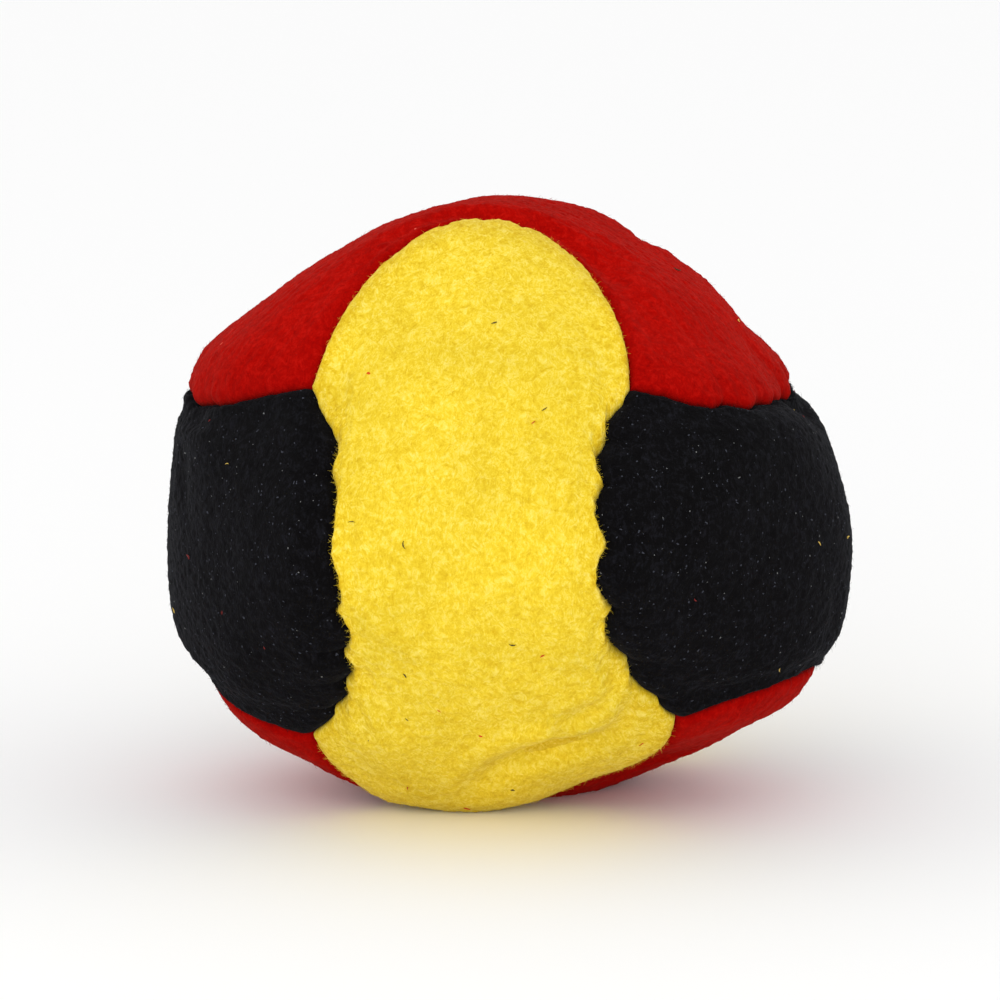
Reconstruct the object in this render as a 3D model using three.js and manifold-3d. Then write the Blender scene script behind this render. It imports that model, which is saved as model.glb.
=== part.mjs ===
// A six-panel juggling ball: a suede cover sewn from six dog-bone panels round a fill of loose pellets.
// Millimetres, +Z up. The origin is the middle of the flat patch that the ball rests on.
import * as THREE from "three";
import { mergeVertices } from "three/addons/utils/BufferGeometryUtils.js";
import Module from "manifold-3d";

const wasm = await Module();
wasm.setup();

// Overall sizes of the resting ball.
const ballWidth = 67.6; // along X
const ballDepth = 62; // along Y
const ballHeight = 59.2; // along Z, from the resting patch to the ridge of the top panel

// The cover.
const panelThickness = 1; // suede
const seamAllowance = 4; // how far the turned-in edges reach below the surface
const seamGap = 0.3; // between the turned-in edges of two panels
const grooveDepth = 1; // how far a panel's edge rolls in at a seam
const grooveWidth = 1.6; // how fast the roll fades away from the seam
const restPress = 0.9; // how much of the rounded underside is pressed flat

// The sewing: a thread along each seam, held between the turned-in edges, which spread round it.
const threadDiameter = 0.6;
const threadDepth = 3.1; // from the surface to the middle of the thread

// Room left round pieces that touch.
const clearance = 0.3; // round the thread
const fillClearance = 0.6; // between the pellets and the panels round them

// How finely the surfaces are divided.
const panelCells = 12; // cells along each side of a panel
const coreDetail = 3; // subdivision of the middle of the fill
const threadSides = 6;
const bareCells = 2; // cells left without thread at each end of a seam, where three panels meet

// The form is a soft dodecahedron: two faces under each dog bone, one for each of its ends.
// A face's reach is how far it stands from the middle, as a share of the radius before stretching.
const roundness = 8; // the higher, the flatter the twelve faces
const floorHardness = 14; // the higher, the tighter the turn into the underside
const floorReach = 0.9;
const patternTilt = THREE.MathUtils.degToRad(3.5); // the sewn pattern leans toward +X as it rests
const golden = (1 + Math.sqrt(5)) / 2;
const lowerFrontLean = 0.2; // the lower front face looks a little to the right
const faces = [
  { name: "roof right", normal: [1, 0, golden], reach: 0.99 },
  { name: "roof left", normal: [-1, 0, golden], reach: 1.08 },
  { name: "floor right", normal: [1, 0, -golden], reach: 0.9 },
  { name: "floor left", normal: [-1, 0, -golden], reach: 0.97 },
  { name: "upper front", normal: [0, -golden, 1], reach: 1.04 },
  { name: "lower front", normal: [lowerFrontLean, -golden, -1], reach: 0.89 },
  { name: "upper back", normal: [0, golden, 1], reach: 1 },
  { name: "lower back", normal: [0, golden, -1], reach: 0.97 },
  { name: "right front", normal: [golden, -1, 0], reach: 1.08 },
  { name: "right back", normal: [golden, 1, 0], reach: 0.93 },
  { name: "left front", normal: [-golden, -1, 0], reach: 1.08 },
  { name: "left back", normal: [-golden, 1, 0], reach: 0.93 },
];

// Where the loose pellets have settled: direction, width in degrees, height of the rise or dip.
const settling = [
  { direction: [0.93, -0.02, 0.36], width: 13, height: -1.7 },
  { direction: [0.12, 0.3, 0.95], width: 34, height: -1 },
];

// The eight corners, where three panels meet, are those of a cube with the front four drawn in.
// Keys are the signs of X, Y and Z; values are shifts along X and Z.
const cornerShift = {
  "-1,-1,1": [0.17, -0.15],
  "1,-1,1": [-0.2, -0.04],
  "-1,-1,-1": [0.14, 0.03],
  "1,-1,-1": [0.07, 0.12],
};

// A seam runs from corner to corner and bulges toward the waist of the panel beside it.
const seamFlatness = 2.6; // the higher, the squarer the bulge
const usualBulge = 0.36;
const endFade = 4; // the higher, the sooner the bow of a panel's end fades inside it
const seamBulge = {
  front_top: 0.6,
  front_left: 0.26,
  front_right: 0.23,
  right_top: 0.22,
  left_top: 0.34,
  bottom_left: 0.32,
  bottom_right: 0.32,
};

// Panels, each named by the way that it faces. A panel is long along the axis after its own.
const axes = [new THREE.Vector3(1, 0, 0), new THREE.Vector3(0, 1, 0), new THREE.Vector3(0, 0, 1)];
const panels = [
  { name: "front", axis: 1, sign: -1, color: 0xeacb3b },
  { name: "back", axis: 1, sign: 1, color: 0xeacb3b },
  { name: "left", axis: 0, sign: -1, color: 0x16161a },
  { name: "right", axis: 0, sign: 1, color: 0x16161a },
  { name: "top", axis: 2, sign: 1, color: 0xb0170d },
  { name: "bottom", axis: 2, sign: -1, color: 0xb0170d },
];
const longAxis = (panel) => (panel.axis + 1) % 3;
const crossAxis = (panel) => (panel.axis + 2) % 3;
const facing = (axis, sign) => panels.find((panel) => panel.axis === axis && panel.sign === sign);

// The twelve seams: each runs along one axis, joins the end of one panel to the waist of another.
const signs = [-1, 1];
const seams = axes.flatMap((_, along) =>
  signs.flatMap((endSign) =>
    signs.map((waistSign) => {
      const end = facing((along + 1) % 3, endSign);
      const waist = facing((along + 2) % 3, waistSign);
      const name = [end.name, waist.name].sort().join("_");
      return { name, along, end, waist, bulge: seamBulge[name] ?? usualBulge };
    }),
  ),
);
const seamBetween = (end, waist) => seams.find((seam) => seam.end === end && seam.waist === waist);

// ---- directions from the middle of the ball ----

function cornerDirection(cornerSigns) {
  const [shiftX, shiftZ] = cornerShift[cornerSigns.join(",")] ?? [0, 0];
  const corner = new THREE.Vector3(...cornerSigns).normalize();
  return corner.add(new THREE.Vector3(shiftX, 0, shiftZ)).normalize();
}

// place runs from -1 at one corner to 1 at the other.
function seamDirection(seam, place) {
  const cornerSigns = [0, 0, 0];
  cornerSigns[seam.end.axis] = seam.end.sign;
  cornerSigns[seam.waist.axis] = seam.waist.sign;
  const [start, finish] = signs.map((sign) => {
    cornerSigns[seam.along] = sign;
    return cornerDirection(cornerSigns);
  });
  const towardWaist = axes[seam.waist.axis].clone().multiplyScalar(seam.waist.sign)
    .addScaledVector(axes[seam.end.axis], -seam.end.sign).normalize();
  return start.lerp(finish, (place + 1) / 2)
    .addScaledVector(towardWaist, seam.bulge * (1 - Math.abs(place) ** seamFlatness))
    .normalize();
}

// A direction inside a panel: u runs across the waist, v from end to end. The panel is the patch
// between its corners, and each seam's bow away from the straight line fades across the patch.
function panelDirection(panel, u, v) {
  const sides = signs.flatMap((sign) => [
    { seam: seamBetween(panel, facing(longAxis(panel), sign)), place: u, near: 1 + sign * v, fade: endFade },
    { seam: seamBetween(facing(crossAxis(panel), sign), panel), place: v, near: 1 + sign * u, fade: 1 },
  ]);
  const blend = new THREE.Vector3();
  for (const { seam, place, near, fade } of sides) {
    const [start, finish] = signs.map((sign) => seamDirection(seam, sign));
    const straight = start.lerp(finish, (place + 1) / 2);
    const bow = seamDirection(seam, place).sub(straight);
    blend.addScaledVector(straight, near / 4).addScaledVector(bow, (near / 2) ** fade);
  }
  return blend.normalize();
}

// ---- the form ----

const faceNormals = faces.map((face) => new THREE.Vector3(...face.normal).normalize());

// The soft dodecahedron cut by a soft floor, in a direction given in the pattern's own frame.
function rawPoint(direction) {
  let nearness = 0;
  faceNormals.forEach((normal, index) => {
    nearness += Math.max(0, direction.dot(normal) / faces[index].reach) ** roundness;
  });
  const turned = direction.clone().applyAxisAngle(axes[1], patternTilt);
  const floorNearness = Math.max(0, -turned.z / floorReach) ** floorHardness;
  const reach = (nearness ** (floorHardness / roundness) + floorNearness) ** (-1 / floorHardness);
  return turned.multiplyScalar(reach);
}

function rawBounds() {
  const box = new THREE.Box3();
  const samples = new THREE.IcosahedronGeometry(1, 40).getAttribute("position");
  const direction = new THREE.Vector3();
  for (let index = 0; index < samples.count; index += 1) {
    box.expandByPoint(rawPoint(direction.fromBufferAttribute(samples, index)));
  }
  return box;
}

const rawBox = rawBounds();
const rawSize = rawBox.getSize(new THREE.Vector3());
const rawMiddle = rawBox.getCenter(new THREE.Vector3());
const stretch = new THREE.Vector3(ballWidth, ballDepth, ballHeight + restPress).divide(rawSize);
const restLevel = rawBox.min.z * stretch.z + restPress;

// A point of the ball, a given depth below the surface, measured toward the middle.
function formPoint(direction, depth) {
  const point = rawPoint(direction).multiply(stretch);
  let rise = 0;
  for (const dip of settling) {
    const nearness = new THREE.Vector3(...dip.direction).normalize().dot(point) / point.length();
    rise += dip.height * Math.exp(-(1 - nearness) / (1 - Math.cos(THREE.MathUtils.degToRad(dip.width))));
  }
  point.multiplyScalar(1 + rise / point.length());
  point.z = Math.max(point.z, restLevel);
  point.multiplyScalar(1 - depth / point.length());
  return point.sub(new THREE.Vector3(rawMiddle.x * stretch.x, rawMiddle.y * stretch.y, restLevel));
}

// ---- panels and fill: boxes bent onto the form ----

// How far along u and v a line lies that keeps a given distance from the panel's four seams.
function insetPlace(panel, u, v, inset) {
  const small = 0.02;
  let place = [u, v];
  for (let pass = 0; pass < 3; pass += 1) {
    const limits = [0, 1].map((which) => signs.map((sign) => {
      const atSeam = [...place];
      atSeam[which] = sign;
      const within = [...atSeam];
      within[which] = sign * (1 - small);
      const beside = [...atSeam];
      beside[1 - which] += beside[1 - which] > 0 ? -small : small;
      const origin = formPoint(panelDirection(panel, ...atSeam), 0);
      const inward = formPoint(panelDirection(panel, ...within), 0).sub(origin);
      const along = formPoint(panelDirection(panel, ...beside), 0).sub(origin).normalize();
      const distance = inward.addScaledVector(along, -inward.dot(along)).length() / small;
      return sign * (1 - inset / distance);
    }));
    place = [u, v].map((value, which) =>
      THREE.MathUtils.lerp(limits[which][0], limits[which][1], (value + 1) / 2));
  }
  return place;
}

function seamRoll(u, v) {
  const halfSide = ballWidth / 3;
  const nearest = 1 - Math.max(Math.abs(u), Math.abs(v));
  return grooveDepth * Math.exp((-nearest * halfSide) / grooveWidth);
}

// Cells grow finer toward the seams, so that the roll at the edge keeps its shape.
const toPlace = (evenPlace) => Math.sin((Math.PI / 2) * evenPlace);

// The faces of a layer inside a panel: each has a depth, and an inset from the seams.
function bendOntoPanel(panel, top, bottom) {
  const box = new THREE.BoxGeometry(2, 2, 1, panelCells, panelCells, 1);
  const position = box.getAttribute("position");
  for (let index = 0; index < position.count; index += 1) {
    const layer = position.getZ(index) > 0 ? top : bottom;
    const [u, v] = [toPlace(position.getX(index)), toPlace(position.getY(index))];
    const place = insetPlace(panel, u, v, layer.inset);
    const depth = layer.depth + (layer === top ? seamRoll(...place) : 0);
    const point = formPoint(panelDirection(panel, ...place), depth);
    position.setXYZ(index, point.x, point.y, point.z);
  }
  if (panel.sign > 0) turnInsideOut(box);
  return box;
}

function turnInsideOut(geometry) {
  const order = geometry.getIndex();
  for (let index = 0; index < order.count; index += 3) {
    const first = order.getX(index);
    order.setX(index, order.getX(index + 2));
    order.setX(index + 2, first);
  }
}

function toSolid(geometry) {
  geometry.deleteAttribute("normal");
  geometry.deleteAttribute("uv");
  const merged = mergeVertices(geometry);
  return new wasm.Manifold(new wasm.Mesh({
    numProp: 3,
    vertProperties: new Float32Array(merged.getAttribute("position").array),
    triVerts: new Uint32Array(merged.getIndex().array),
  }));
}

function toGeometry(solid) {
  const mesh = solid.getMesh();
  const geometry = new THREE.BufferGeometry();
  geometry.setAttribute("position", new THREE.BufferAttribute(mesh.vertProperties, 3));
  geometry.setIndex(new THREE.BufferAttribute(mesh.triVerts, 1));
  geometry.computeVertexNormals();
  return geometry;
}

// ---- the pieces ----

// How far a turned-in edge stands from the middle of its seam at a depth.
const threadRadius = threadDiameter / 2;
const spreadPerDepth =
  (threadRadius + clearance - seamGap / 2) / (threadDepth - threadRadius - grooveDepth);
const edgeInset = (depth) => seamGap / 2 + spreadPerDepth * Math.max(0, depth - grooveDepth);

// A layer of a panel at a depth, held inside its turned-in edges by a margin.
const layerAt = (depth, margin) => ({ depth, inset: edgeInset(depth) + margin });

function panelGeometry(panel) {
  const block = bendOntoPanel(panel, layerAt(0, 0), layerAt(seamAllowance, 0));
  const hollow = bendOntoPanel(
    panel,
    layerAt(panelThickness, panelThickness),
    layerAt(seamAllowance + panelThickness, panelThickness),
  );
  return toGeometry(toSolid(block).subtract(toSolid(hollow)));
}

// A path given by its points, with one step of the tube to each.
class PointPath extends THREE.Curve {
  constructor(points) {
    super();
    this.points = points;
  }

  getPoint(share) {
    const spot = THREE.MathUtils.clamp(share, 0, 1) * (this.points.length - 1);
    const index = Math.min(Math.floor(spot), this.points.length - 2);
    return this.points[index].clone().lerp(this.points[index + 1], spot - index);
  }

  getPointAt(share) {
    return this.getPoint(share);
  }

  getTangentAt(share) {
    return this.getTangent(share);
  }
}

function threadGeometry(seam) {
  const points = [];
  for (let cell = bareCells; cell <= panelCells - bareCells; cell += 1) {
    const place = toPlace((2 * cell) / panelCells - 1);
    points.push(formPoint(seamDirection(seam, place), threadDepth));
  }
  const outline = Array.from({ length: threadSides }, (_, index) => {
    const angle = (2 * Math.PI * index) / threadSides;
    return new THREE.Vector2(threadRadius * Math.cos(angle), threadRadius * Math.sin(angle));
  });
  return new THREE.ExtrudeGeometry(new THREE.Shape(outline), {
    steps: points.length - 1,
    extrudePath: new PointPath(points),
    bevelEnabled: false,
  });
}

// The pellets fill the middle, below the turned-in edges, and a lobe inside each panel.
function fillGeometry() {
  const coreDepth = seamAllowance + fillClearance;
  const lobeRoot = 4; // how far a lobe reaches into the middle
  const core = new THREE.IcosahedronGeometry(1, coreDetail);
  const position = core.getAttribute("position");
  const direction = new THREE.Vector3();
  for (let index = 0; index < position.count; index += 1) {
    const point = formPoint(direction.fromBufferAttribute(position, index), coreDepth);
    position.setXYZ(index, point.x, point.y, point.z);
  }
  let solid = toSolid(core);
  for (const panel of panels) {
    const lobe = bendOntoPanel(
      panel,
      layerAt(panelThickness + fillClearance, panelThickness + fillClearance),
      layerAt(coreDepth + lobeRoot, panelThickness + fillClearance),
    );
    solid = solid.add(toSolid(lobe));
  }
  return toGeometry(solid);
}

function suede(color) {
  return new THREE.MeshStandardMaterial({ color, roughness: 0.95, metalness: 0 });
}

const ball = new THREE.Group();

function addPiece(name, geometry, material) {
  const piece = new THREE.Mesh(geometry, material);
  piece.name = name;
  ball.add(piece);
}

for (const panel of panels) addPiece(`${panel.name}_panel`, panelGeometry(panel), suede(panel.color));

for (const seam of seams) {
  const cotton = new THREE.MeshStandardMaterial({ color: 0x2a2724, roughness: 0.8, metalness: 0 });
  addPiece(`seam_thread_${seam.name}`, threadGeometry(seam), cotton);
}

const pellets = new THREE.MeshStandardMaterial({ color: 0xd9d6cc, roughness: 0.5, metalness: 0 });
addPiece("pellet_fill", fillGeometry(), pellets);

export default ball;
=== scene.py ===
import math

import bpy
import numpy as np
from mathutils import Matrix, Vector


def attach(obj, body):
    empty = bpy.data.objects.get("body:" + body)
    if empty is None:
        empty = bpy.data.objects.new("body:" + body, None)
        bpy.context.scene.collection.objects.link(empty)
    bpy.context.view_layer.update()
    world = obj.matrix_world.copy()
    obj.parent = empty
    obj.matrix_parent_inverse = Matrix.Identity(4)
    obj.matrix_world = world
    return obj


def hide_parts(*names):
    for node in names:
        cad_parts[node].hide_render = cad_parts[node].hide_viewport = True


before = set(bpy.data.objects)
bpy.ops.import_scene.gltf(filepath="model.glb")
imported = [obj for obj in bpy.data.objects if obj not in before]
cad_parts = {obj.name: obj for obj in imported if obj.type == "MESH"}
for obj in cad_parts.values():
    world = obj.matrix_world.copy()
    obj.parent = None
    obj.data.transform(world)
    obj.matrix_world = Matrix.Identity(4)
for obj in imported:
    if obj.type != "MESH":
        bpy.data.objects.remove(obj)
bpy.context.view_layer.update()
print("frame loaded:", len(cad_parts), "nodes")

# Lengths are in metres. The ball's form is the same soft dodecahedron as its frame's.
ball = {
    "size": (0.0676, 0.062, 0.0592),
    "restPress": 0.0009,  # how much of the underside is pressed flat
    "roundness": 8,
    "floorHardness": 14,
    "floorReach": 0.9,
    "patternTilt": math.radians(3.5),
    "lowerFrontLean": 0.2,
    "seamFlatness": 2.6,
    "usualBulge": 0.36,
    "endFade": 4,
}
golden = (1 + math.sqrt(5)) / 2
faceTable = [  # outward normal, reach
    ((1, 0, golden), 0.99),
    ((-1, 0, golden), 1.08),
    ((1, 0, -golden), 0.9),
    ((-1, 0, -golden), 0.97),
    ((0, -golden, 1), 1.04),
    ((ball["lowerFrontLean"], -golden, -1), 0.89),
    ((0, golden, 1), 1),
    ((0, golden, -1), 0.97),
    ((golden, -1, 0), 1.08),
    ((golden, 1, 0), 0.93),
    ((-golden, -1, 0), 1.08),
    ((-golden, 1, 0), 0.93),
]
cornerShift = {
    (-1, -1, 1): (0.17, -0.15),
    (1, -1, 1): (-0.2, -0.04),
    (-1, -1, -1): (0.14, 0.03),
    (1, -1, -1): (0.07, 0.12),
}
seamBulge = {
    "front_top": 0.6,
    "bottom_front": 0.5,
    "front_left": 0.26,
    "front_right": 0.23,
    "right_top": 0.22,
    "left_top": 0.34,
    "bottom_left": 0.32,
    "bottom_right": 0.32,
}
seamSquareness = {"bottom_front": 4}  # where it isn't the usual flatness
seamSkew = {"right_top": -0.15}  # how far along its seam the cloth's end reaches furthest
panelSides = {  # axis, sign
    "front": (1, -1),
    "back": (1, 1),
    "left": (0, -1),
    "right": (0, 1),
    "top": (2, 1),
    "bottom": (2, -1),
}


# Where the loose pellets have settled: direction, width in degrees, height.
settling = [
    ((0.93, -0.02, 0.36), 13, -0.0017),
    ((0.42, -0.25, -0.86), 20, -0.0013),
    ((-0.55, -0.25, -0.8), 16, -0.0009),
    ((0.12, 0.3, 0.95), 34, -0.001),
]


# ---- form ----

def unit(vectors):
    # v / |v|
    return vectors / np.linalg.norm(vectors, axis=-1, keepdims=True)


def axisVector(axis, sign=1):
    vector = np.zeros(3)
    vector[axis] = sign
    return vector


faceNormals = unit(np.array([normal for normal, reach in faceTable], float))
faceReach = np.array([reach for normal, reach in faceTable], float)
tiltCos, tiltSin = math.cos(ball["patternTilt"]), math.sin(ball["patternTilt"])
tiltTurn = np.array([[tiltCos, 0, tiltSin], [0, 1, 0], [-tiltSin, 0, tiltCos]])


def rawPoint(directions):
    # reach = (sum of (d.n / reach of face)^p)^(-1/p), cut by a soft floor of the same kind
    near = np.maximum(directions @ faceNormals.T, 0) / faceReach
    power, hard = ball["roundness"], ball["floorHardness"]
    turned = directions @ tiltTurn.T
    floorNear = np.maximum(-turned[..., 2] / ball["floorReach"], 0) ** hard
    total = (near**power).sum(-1) ** (hard / power) + floorNear
    return turned * (total ** (-1 / hard))[..., None]


def spiralDirections(count):
    # even points on a sphere: z falls evenly while the angle turns by the golden angle
    step = np.arange(count) + 0.5
    z = 1 - 2 * step / count
    ring = np.sqrt(1 - z * z)
    angle = math.pi * (1 + math.sqrt(5)) * step
    return np.stack([ring * np.cos(angle), ring * np.sin(angle), z], -1)


rawSamples = rawPoint(spiralDirections(60000))
rawLow, rawHigh = rawSamples.min(0), rawSamples.max(0)
stretch = (np.array(ball["size"]) + [0, 0, ball["restPress"]]) / (rawHigh - rawLow)
restLevel = rawLow[2] * stretch[2] + ball["restPress"]
middle = (rawLow + rawHigh) / 2 * stretch
middle[2] = restLevel


def formPoint(directions, depth):
    # stretched raw point, floor pressed flat, then moved toward the middle by depth
    point = rawPoint(directions) * stretch
    length = np.linalg.norm(point, axis=-1)
    rise = 0
    for center, width, height in settling:
        nearness = (point @ unit(np.array(center, float))) / length
        rise = rise + height * np.exp(-(1 - nearness) / (1 - math.cos(math.radians(width))))
    point = point * (1 + rise / length)[..., None]
    point[..., 2] = np.maximum(point[..., 2], restLevel)
    return point * (1 - depth / np.linalg.norm(point, axis=-1))[..., None] - middle


# ---- seams and panels on the sphere of directions ----

def facing(axis, sign):
    return next(name for name, side in panelSides.items() if side == (axis, sign))


def makeSeams():
    seams = []
    for along in range(3):
        for endSign in (-1, 1):
            for waistSign in (-1, 1):
                end = facing((along + 1) % 3, endSign)
                waist = facing((along + 2) % 3, waistSign)
                name = "_".join(sorted([end, waist]))
                bulge = seamBulge.get(name, ball["usualBulge"])
                seams.append({"name": name, "along": along, "end": end, "waist": waist,
                              "bulge": bulge, "seed": len(seams)})
    return seams


seams = makeSeams()


def seamBetween(end, waist):
    return next(seam for seam in seams if seam["end"] == end and seam["waist"] == waist)


def cornerDirection(signs):
    shiftX, shiftZ = cornerShift.get(tuple(signs), (0, 0))
    return unit(unit(np.array(signs, float)) + np.array([shiftX, 0, shiftZ]))


scallopShare = {  # how strongly each seam shows its stitches
    "front_top": 0.25,
    "front_left": 1,
    "front_right": 1,
    "right_top": 0.75,
    "left_top": 0.6,
    "bottom_front": 0.3,
    "bottom_right": 0.4,
    "bottom_left": 0.4,
}
sewing = {
    "pitch": 0.0062,  # between stitches, and so between puckers
    "scallop": 0.0015,  # how far the edge bows out between stitches
    "wander": 0.0004,  # slow drift of the seam from its true line
    "tremble": 0.00005,  # fine raggedness of the cut edge
    "radius": 0.031,
    "seamLength": 0.046,  # from corner to corner
    "wobbleFade": 10,  # the higher, the nearer to the seam the scallops stay
}


def seamPhase(seam, place):
    # stitches passed so far along a seam, counted from its middle
    drift = 0.35 * np.sin(2.7 * place + seam["seed"])
    return place * sewing["seamLength"] / 2 / sewing["pitch"] + drift + 0.37 * seam["seed"]


def stitchBump(seam, place):
    # 1 between stitches, 0 at them: |sin|, with a slow change of strength along the seam
    phase = seamPhase(seam, place)
    strength = 0.75 + 0.35 * np.sin(2.3 * place + 1.7 * seam["seed"]) * np.cos(4.1 * place + seam["seed"])
    return np.abs(np.sin(math.pi * phase)) * strength


def seamWobble(seam, place):
    # scallops, a slow drift and a fine tremble, fading out at the corners
    fade = 1 - np.abs(place) ** 6
    slow = np.sin(3.1 * place + 2.1 * seam["seed"]) + 0.6 * np.sin(6.3 * place + 0.9 * seam["seed"])
    fine = np.sin(61 * place + seam["seed"]) + np.sin(97 * place + 3 * seam["seed"])
    scallop = sewing["scallop"] * scallopShare.get(seam["name"], 0.6)
    shift = (scallop * (stitchBump(seam, place) - 0.5) + sewing["wander"] * 0.5 * slow
             + sewing["tremble"] * fine)
    return fade * shift / sewing["radius"]


def towardWaist(seam):
    endAxis, endSign = panelSides[seam["end"]]
    waistAxis, waistSign = panelSides[seam["waist"]]
    return unit(axisVector(waistAxis, waistSign) - axisVector(endAxis, endSign))


def seamDirection(seam, place):
    # corner to corner, bulged toward the waist by bulge * (1 - |place|^flatness)
    endAxis, endSign = panelSides[seam["end"]]
    waistAxis, waistSign = panelSides[seam["waist"]]
    signs = [0, 0, 0]
    signs[endAxis], signs[waistAxis] = endSign, waistSign
    corners = []
    for sign in (-1, 1):
        signs[seam["along"]] = sign
        corners.append(cornerDirection(signs))
    place = np.asarray(place, float)
    share = ((place + 1) / 2)[..., None]
    skewed = place - seamSkew.get(seam["name"], 0) * (1 - place**2)
    flatness = seamSquareness.get(seam["name"], ball["seamFlatness"])
    bulge = seam["bulge"] * (1 - np.abs(skewed) ** flatness)
    return unit(corners[0] * (1 - share) + corners[1] * share + towardWaist(seam) * bulge[..., None])


def panelSeams(panel):
    # the four seams of a panel: axis of the grid that meets it, side, seam, how its bow fades
    axis = panelSides[panel][0]
    longAxis, crossAxis = (axis + 1) % 3, (axis + 2) % 3
    found = []
    for side in (-1, 1):
        found.append((1, side, seamBetween(panel, facing(longAxis, side)), ball["endFade"]))
        found.append((0, side, seamBetween(facing(crossAxis, side), panel), 1))
    return found


def panelDirection(panel, u, v, wobble=1):
    # blend of the straight lines between corners, plus each seam's bow fading inward,
    # with the seam's small wobble fading within a few millimetres
    blend = 0
    for which, side, seam, fade in panelSeams(panel):
        place = v if which == 0 else u
        near = 1 + side * (u if which == 0 else v)
        start, finish = seamDirection(seam, -1.0), seamDirection(seam, 1.0)
        share = ((place + 1) / 2)[..., None]
        straight = start * (1 - share) + finish * share
        bow = seamDirection(seam, place) - straight
        share = np.maximum(near, 0) / 2
        blend = blend + straight * (near / 4)[..., None] + bow * share[..., None] ** fade
        shift = wobble * seamWobble(seam, place) * share ** sewing["wobbleFade"]
        blend = blend + towardWaist(seam) * shift[..., None]
    return unit(blend)


def metresPerPlace(panel, which, side, along):
    # how many metres of surface one unit of place is worth, straight in from a seam
    small = 0.02
    edge, inner = np.full_like(along, float(side)), np.full_like(along, side * (1 - small))
    beside = along + np.where(along > 0, -small, small)

    def at(across, place):
        pair = (across, place) if which == 0 else (place, across)
        return formPoint(panelDirection(panel, *pair, 0), 0)

    origin = at(edge, along)
    inward, sideways = at(inner, along) - origin, unit(at(edge, beside) - origin)
    inward = inward - sideways * (inward * sideways).sum(-1, keepdims=True)
    return np.maximum(np.linalg.norm(inward, axis=-1) / small, 0.014)


# ---- noise ----

def latticeNoise(points, cell, seed):
    # smooth random values from -1 to 1 on a cubic lattice, eased between its points
    lattice = np.random.default_rng(seed).uniform(-1, 1, (32, 32, 32))
    scaled = points / cell + 400
    whole = np.floor(scaled).astype(int)
    part = scaled - whole
    part = part * part * (3 - 2 * part)
    value = 0
    for corner in range(8):
        step = np.array([corner & 1, corner >> 1 & 1, corner >> 2 & 1])
        weight = np.where(step, part, 1 - part).prod(-1)
        index = (whole + step) % 32
        value = value + weight * lattice[index[..., 0], index[..., 1], index[..., 2]]
    return value


# ---- meshes ----

def gridFaces(rows, columns, offset=0, flip=False):
    # quads of a grid of (rows+1) x (columns+1) points
    index = np.arange((rows + 1) * (columns + 1)).reshape(rows + 1, columns + 1) + offset
    quads = np.stack([index[:-1, :-1], index[1:, :-1], index[1:, 1:], index[:-1, 1:]], -1).reshape(-1, 4)
    return quads[:, ::-1] if flip else quads


def rimLoop(cells, offset=0):
    # the points round the edge of a square grid, in order
    index = np.arange((cells + 1) ** 2).reshape(cells + 1, cells + 1) + offset
    return np.concatenate([index[:-1, 0], index[-1, :-1], index[:0:-1, -1], index[0, :0:-1]])


def makePiece(name, vertices, faceGroups, material):
    # faceGroups holds arrays of triangles or quads
    mesh = bpy.data.meshes.new(name)
    loops = np.concatenate([group.ravel() for group in faceGroups]).astype(np.int32)
    totals = np.concatenate([np.full(len(group), group.shape[1]) for group in faceGroups]).astype(np.int32)
    starts = np.concatenate([[0], np.cumsum(totals)[:-1]]).astype(np.int32)
    mesh.vertices.add(len(vertices))
    mesh.vertices.foreach_set("co", np.ascontiguousarray(vertices, np.float32).ravel())
    mesh.loops.add(len(loops))
    mesh.loops.foreach_set("vertex_index", loops)
    mesh.polygons.add(len(totals))
    mesh.polygons.foreach_set("loop_start", starts)
    mesh.polygons.foreach_set("loop_total", totals)
    mesh.update(calc_edges=True)
    mesh.validate()
    mesh.shade_smooth()
    piece = bpy.data.objects.new(name, mesh)
    bpy.context.scene.collection.objects.link(piece)
    mesh.materials.append(material)
    return piece


# ---- suede ----

def newGroup(name, inputs, outputs):
    group = bpy.data.node_groups.new(name, "ShaderNodeTree")
    for label, kind, value in inputs:
        socket = group.interface.new_socket(label, in_out="INPUT", socket_type=kind)
        if value is not None:
            socket.default_value = value
    for label, kind in outputs:
        group.interface.new_socket(label, in_out="OUTPUT", socket_type=kind)
    return group, group.nodes.new("NodeGroupInput"), group.nodes.new("NodeGroupOutput")


def addNoise(tree, vector, scale, detail=3, roughness=0.6, distortion=0):
    noise = tree.nodes.new("ShaderNodeTexNoise")
    noise.inputs["Detail"].default_value = detail
    noise.inputs["Roughness"].default_value = roughness
    noise.inputs["Distortion"].default_value = distortion
    tree.links.new(vector, noise.inputs["Vector"])
    if hasattr(scale, "links"):
        tree.links.new(scale, noise.inputs["Scale"])
    else:
        noise.inputs["Scale"].default_value = scale
    return noise.outputs["Fac"]


def addMath(tree, kind, first, second, clamp=False):
    node = tree.nodes.new("ShaderNodeMath")
    node.operation, node.use_clamp = kind, clamp
    for socket, value in zip(node.inputs, (first, second)):
        if hasattr(value, "links"):
            tree.links.new(value, socket)
        else:
            socket.default_value = value
    return node.outputs[0]


def addRange(tree, value, low, high, toLow=0, toHigh=1):
    node = tree.nodes.new("ShaderNodeMapRange")
    tree.links.new(value, node.inputs["Value"])
    for label, number in (("From Min", low), ("From Max", high), ("To Min", toLow), ("To Max", toHigh)):
        node.inputs[label].default_value = number
    return node.outputs["Result"]


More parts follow.
